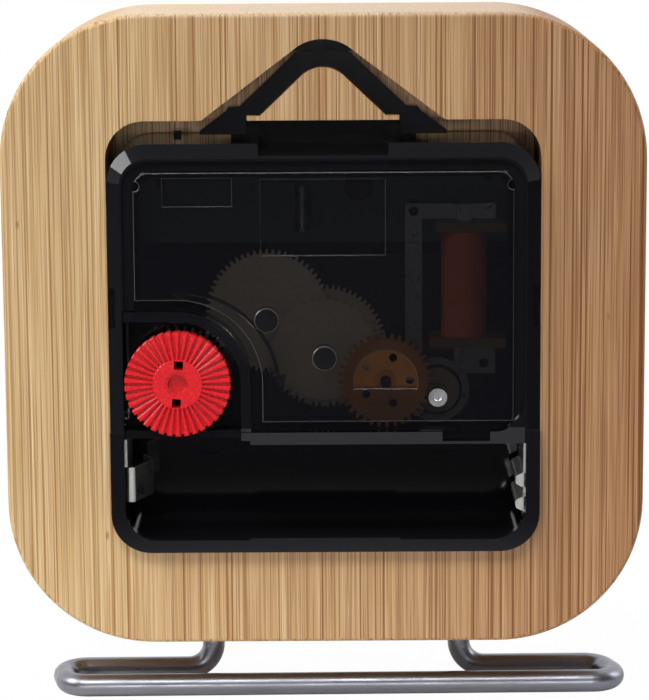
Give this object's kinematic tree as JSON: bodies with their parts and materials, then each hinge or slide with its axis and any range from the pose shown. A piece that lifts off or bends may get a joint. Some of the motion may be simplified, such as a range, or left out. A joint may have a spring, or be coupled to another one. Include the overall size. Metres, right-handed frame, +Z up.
{
  "type": "desk clock",
  "caption": "Square desk clock: a rounded bamboo block on a bent wire stand, with hands in front and a black battery movement with a red setting knob let into its back.",
  "frame": {"origin": "floor level under the middle of the clock's bounding box", "axes": "+Z up, the hands face -Y, the movement's cover faces +Y, +X is to the right as seen from the front"},
  "size_m": [0.0834, 0.0298, 0.092],
  "materials": {
    "bamboo": "smooth, clear-sealed, fine upright grain",
    "wire": "satin",
    "case_black": "glossy moulded",
    "cover_smoke": "smoky, slightly see-through",
    "knob_red": "glossy moulded",
    "contact_steel": "bright plated",
    "gear_amber": "milky amber moulding",
    "gear_white": "milky moulding",
    "plate_black": "matt moulded",
    "copper": "enamelled copper wire",
    "bobbin_olive": "moulded",
    "steel": "plain",
    "magnet": "sintered, dark grey",
    "board": "printed circuit laminate",
    "brass": "turned",
    "rubber": "matt",
    "hand_black": "black lacquer",
    "mark_brown": "dark, matt"
  },
  "bodies": {
    "clock": {"bamboo_block": "bamboo", "wire_stand": "wire", "movement_case": "case_black", "case_cover": "cover_smoke", "rotor_bearing": "steel", "hanger": "case_black", "train_bridge": "plate_black", "stator": "steel", "coil_core": "steel", "coil_bobbin": "bobbin_olive", "coil_winding": "copper", "circuit_board": "board", "timing_chip": "plate_black", "crystal_can": "contact_steel", "negative_contact": "contact_steel", "positive_contact": "contact_steel", "threaded_bushing": "brass", "rubber_washer": "rubber", "brass_washer": "brass", "mounting_nut": "brass", "hour_marks": "mark_brown"},
    "seconds": {"seconds_wheel": "gear_white", "second_hand": "hand_black"},
    "fifth": {"fifth_wheel": "gear_amber"},
    "rotor_body": {"rotor": "magnet"},
    "third": {"third_wheel": "gear_white"},
    "centre": {"centre_wheel": "gear_white"},
    "minute": {"cannon_pinion": "gear_white", "minute_hand": "hand_black"},
    "minute_wheel_body": {"minute_wheel": "gear_white"},
    "hour": {"hour_wheel": "gear_white", "hour_hand": "hand_black"},
    "setting": {"setting_knob": "knob_red", "setting_wheel": "gear_white"}
  },
  "joints": [
    {"name": "second_hand_turn", "type": "hinge", "parent": "clock", "child": "seconds", "pos_m": [0, 0, 0.0475], "axis": [0, 1, 0], "continuous": true},
    {"name": "fifth_wheel_turn", "type": "hinge", "parent": "clock", "child": "fifth", "pos_m": [-0.00795, 0, 0.04405], "axis": [0, 1, 0], "continuous": true},
    {"name": "rotor_turn", "type": "hinge", "parent": "clock", "child": "rotor_body", "pos_m": [-0.01468, 0, 0.04225], "axis": [0, 1, 0], "continuous": true},
    {"name": "third_wheel_turn", "type": "hinge", "parent": "clock", "child": "third", "pos_m": [0.00746, 0, 0.05252], "axis": [0, 1, 0], "continuous": true},
    {"name": "centre_wheel_turn", "type": "hinge", "parent": "clock", "child": "centre", "pos_m": [0, 0, 0.0475], "axis": [0, 1, 0], "continuous": true},
    {"name": "minute_hand_turn", "type": "hinge", "parent": "clock", "child": "minute", "pos_m": [0, 0, 0.0475], "axis": [0, 1, 0], "continuous": true},
    {"name": "minute_wheel_turn", "type": "hinge", "parent": "clock", "child": "minute_wheel_body", "pos_m": [0.0079, 0, 0.04611], "axis": [0, 1, 0], "continuous": true},
    {"name": "hour_hand_turn", "type": "hinge", "parent": "clock", "child": "hour", "pos_m": [0, 0, 0.0475], "axis": [0, 1, 0], "continuous": true},
    {"name": "setting_knob_turn", "type": "hinge", "parent": "clock", "child": "setting", "pos_m": [0.0191, 0, 0.04415], "axis": [0, 1, 0], "continuous": true}
  ],
  "couplings": [
    {"joint": "fifth_wheel_turn", "follows": "second_hand_turn", "ratio": -5},
    {"joint": "rotor_turn", "follows": "second_hand_turn", "ratio": 30},
    {"joint": "third_wheel_turn", "follows": "second_hand_turn", "ratio": -0.13333},
    {"joint": "centre_wheel_turn", "follows": "second_hand_turn", "ratio": 0.016667},
    {"joint": "minute_wheel_turn", "follows": "minute_hand_turn", "ratio": -0.33333},
    {"joint": "hour_hand_turn", "follows": "minute_hand_turn", "ratio": 0.083333},
    {"joint": "setting_knob_turn", "follows": "minute_hand_turn", "ratio": 0.375}
  ]
}
